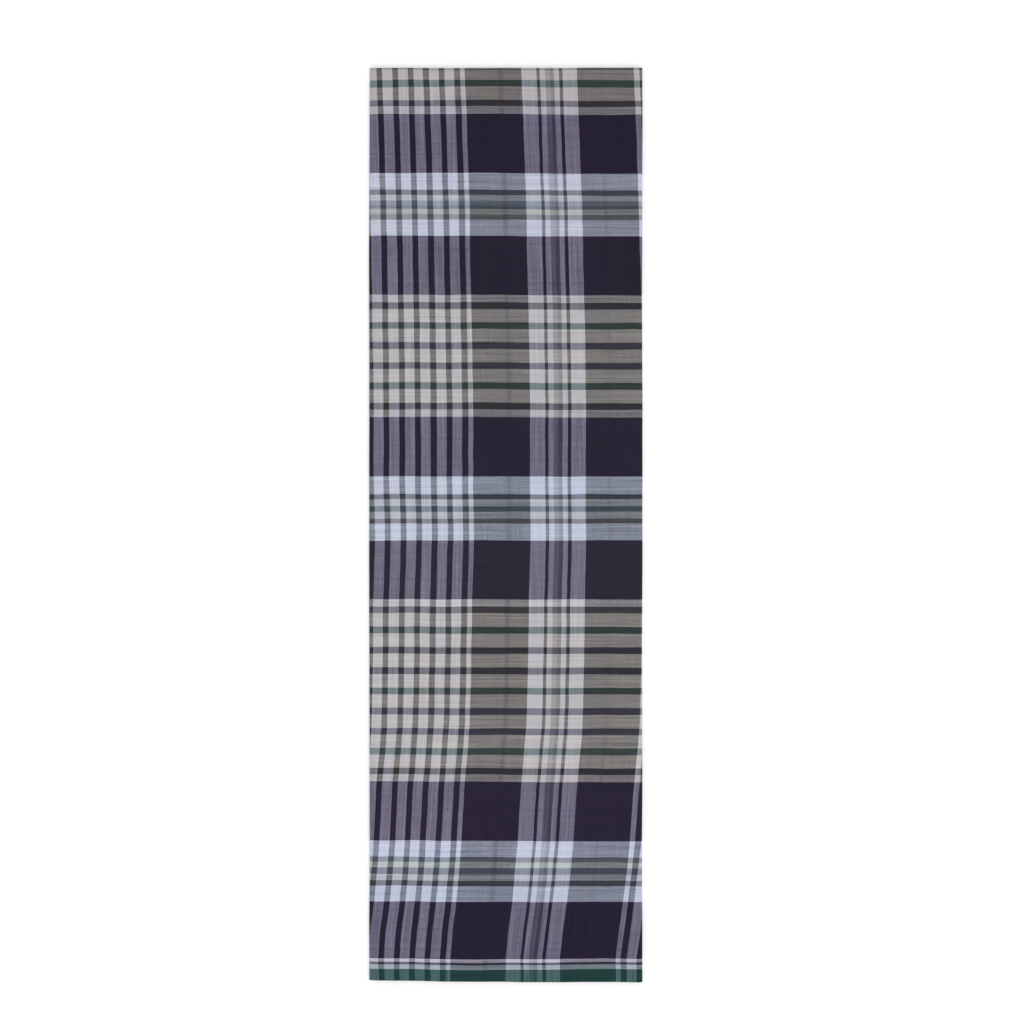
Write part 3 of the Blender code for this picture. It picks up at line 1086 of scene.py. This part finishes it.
def buildThreadMaterial():
    material, tree, shader = newMaterial("seamThread")
    place = objectPlace(tree)
    twist = tree.nodes.new("ShaderNodeTexWave")
    twist.wave_type = "BANDS"
    twist.bands_direction = "DIAGONAL"
    fill(tree, twist, {"Vector": place, "Scale": thread["twist"], "Distortion": 1.5})
    wear = addNoise(tree, place, 60.0, 3.0).outputs["Fac"]
    colour = addMix(tree, wear, thread["pale"], thread["worn"])
    # painted shade in the twist's grooves
    paintedGrooveShade = addMath(tree, "MULTIPLY", twist.outputs["Fac"], thread["grooveShadeShare"])
    fill(tree, shader, {
        "Base Color": addMix(tree, paintedGrooveShade, colour, thread["paintedGrooveShade"]),
        "Normal": addBump(tree, twist.outputs["Fac"], 0.4, thread["grooveDepth"]),
        "Roughness": thread["roughness"],
        "Specular IOR Level": thread["specular"],
    })
    return material


def buildStitchTree():
    inputs = {name: "Float" for name in ("Pitch", "Stitch Length", "Thread Width", "Tilt")}
    inputs = {"Rows": "Geometry", **inputs, "Thread": "Material"}
    tree, given, result = newGroup("stitchRows", "GeometryNodeTree", inputs, {"Stitches": "Geometry"})
    curve = addNode(tree, "GeometryNodeMeshToCurve", {"Mesh": given["Rows"]})
    points = tree.nodes.new("GeometryNodeCurveToPoints")
    points.mode = "LENGTH"
    fill(tree, points, {"Curve": curve.outputs["Curve"], "Length": given["Pitch"]})

    ball = addNode(tree, "GeometryNodeMeshUVSphere", {"Segments": 8, "Rings": 6, "Radius": 0.5})
    size = addCombine(tree, given["Thread Width"], given["Stitch Length"], given["Thread Width"])
    stitch = addNode(tree, "GeometryNodeTransform", {"Geometry": ball.outputs["Mesh"], "Scale": size})

    tilt = addNode(tree, "FunctionNodeRandomValue", {"Seed": 5})
    opposite = addMath(tree, "MULTIPLY", given["Tilt"], -1.0)
    feedAll(tree, shown(tilt.inputs), (opposite, given["Tilt"]))
    turn = addCombine(tree, 0.0, 0.0, shown(tilt.outputs)[0])

    values = {"Points": points.outputs["Points"], "Instance": stitch.outputs["Geometry"], "Rotation": turn}
    placed = addNode(tree, "GeometryNodeInstanceOnPoints", values)
    real = addNode(tree, "GeometryNodeRealizeInstances", {"Geometry": placed.outputs["Instances"]})
    smooth = addNode(tree, "GeometryNodeSetShadeSmooth", {"Geometry": real.outputs["Geometry"]})
    values = {"Geometry": smooth.outputs["Geometry"], "Material": given["Thread"]}
    painted = addNode(tree, "GeometryNodeSetMaterial", values)
    feed(tree, result["Stitches"], painted.outputs["Geometry"])
    return tree


def buildStitches():
    points = []
    edges = []
    knots = 120
    for inset in seamPiece["stitchRows"]:
        first = len(points)
        for i in range(knots + 1):
            share = 0.004 + 0.992 * i / knots
            x = freeEdgeX + inset
            y = float(hemAt(x) + share * (waistAt(x) - hemAt(x)))
            x += seamPiece["stitchWander"] * math.sin(y * 61 + inset * 900) + float(sideStray(x, y))
            points.append((x, y, seamPiece["threadWidth"] / 2))
        edges += [(i, i + 1) for i in range(first, len(points) - 1)]
    mesh = bpy.data.meshes.new("stitchLines")
    mesh.from_pydata(points, edges, [])
    stitches = addObject("seamStitches", mesh)
    modifier = stitches.modifiers.new("stitches", "NODES")
    modifier.node_group = buildStitchTree()
    values = {
        "Pitch": seamPiece["stitchPitch"],
        "Stitch Length": seamPiece["stitchLength"],
        "Thread Width": seamPiece["threadWidth"],
        "Tilt": math.radians(seamPiece["stitchTilt"]),
        "Thread": buildThreadMaterial(),
    }
    for item in modifier.node_group.interface.items_tree:
        if item.in_out == "INPUT" and item.name in values:
            modifier[item.identifier] = values[item.name]
    graph = bpy.context.evaluated_depsgraph_get()
    made = bpy.data.meshes.new_from_object(stitches.evaluated_get(graph))
    if made.materials[0] is None:  # baking can leave an empty slot before the thread's
        made.materials.pop(index=0)
    stitches.modifiers.clear()
    stitches.data = made
    printTriangles("seamStitches", made)
    return stitches


seamStitches = buildStitches()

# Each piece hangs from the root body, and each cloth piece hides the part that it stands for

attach(shownCloth, "root")
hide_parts("shown_panel")

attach(underCloth, "root")
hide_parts("under_panel")

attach(innerCloth, "root")
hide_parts("folded_layers")

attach(seamFell, "root")
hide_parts("side_seam")

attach(seamStitches, "root")

# Floor, light and camera

studio = {
    "floorSize": 60.0,
    "floorTone": 0.68,
    "floorMottle": 0.006,
    "floorGlow": 0.35,  # keeps the floor pale beside the cloth
    "skyColour": (1.0, 1.0, 1.0),
    "skyStrength": 0.80,
    "backdropTone": 1.0,  # what shows past the floor's far edge
    "keyStrength": 0.97,
    "keySoftness": 46,  # degrees
    "keyTurn": (38, 0, 40),  # degrees: how far it tips from straight down, and round
    "cameraX": 0.00776,
    "cameraY": 0.01575,
    "frameWidth": 1.2515,  # what the picture spans at the height of the cloth's top
    "lens": 85,
    "sensorWidth": 36,
}


def buildFloor():
    material, tree, shader = newMaterial("paleFloor")
    mottle = addNoise(tree, objectPlace(tree), 6.0, 3.0).outputs["Fac"]
    tone = studio["floorTone"]
    low = tone - studio["floorMottle"]
    fill(tree, shader, {
        "Base Color": addMix(tree, mottle, (tone, tone, tone, 1.0), (low, low, low, 1.0)),
        "Roughness": 0.9,
        "Specular IOR Level": 0.1,
        "Emission Color": (1.0, 1.0, 1.0, 1.0),
        "Emission Strength": studio["floorGlow"],
    })
    size = studio["floorSize"] / 2
    corners = [(-size, -size, 0), (size, -size, 0), (size, size, 0), (-size, size, 0)]
    mesh = bpy.data.meshes.new("floor")
    mesh.from_pydata(corners, [], [(0, 1, 2, 3)])
    mesh.materials.append(material)
    floor = addObject("floor", mesh)


def buildLight():
    world = bpy.data.worlds.new("softStudio")
    world.use_nodes = True
    tree = world.node_tree
    sky = tree.nodes["Background"]
    fill(tree, sky, {"Color": (*studio["skyColour"], 1.0), "Strength": studio["skyStrength"]})
    tone = studio["backdropTone"]
    backdrop = addNode(tree, "ShaderNodeBackground", {"Color": (tone, tone, tone, 1.0)})
    seen = tree.nodes.new("ShaderNodeLightPath").outputs["Is Camera Ray"]
    chosen = tree.nodes.new("ShaderNodeMixShader")
    feedAll(tree, chosen.inputs, (seen, sky.outputs["Background"], backdrop.outputs["Background"]))
    feed(tree, tree.nodes["World Output"].inputs["Surface"], chosen.outputs["Shader"])
    bpy.context.scene.world = world
    light = bpy.data.lights.new("key", "SUN")
    light.energy = studio["keyStrength"]
    light.angle = math.radians(studio["keySoftness"])
    key = addObject("key", light)
    key.rotation_euler = [math.radians(a) for a in studio["keyTurn"]]


def buildCamera():
    camera = addObject("camera", bpy.data.cameras.new("camera"))
    camera.data.lens = studio["lens"]
    camera.data.sensor_width = studio["sensorWidth"]
    distance = studio["frameWidth"] * studio["lens"] / studio["sensorWidth"]
    camera.location = (studio["cameraX"], studio["cameraY"], stackTop + distance)
    bpy.context.scene.camera = camera


buildFloor()
buildLight()
buildCamera()
bpy.context.scene.view_settings.view_transform = "Standard"
print("studio built")
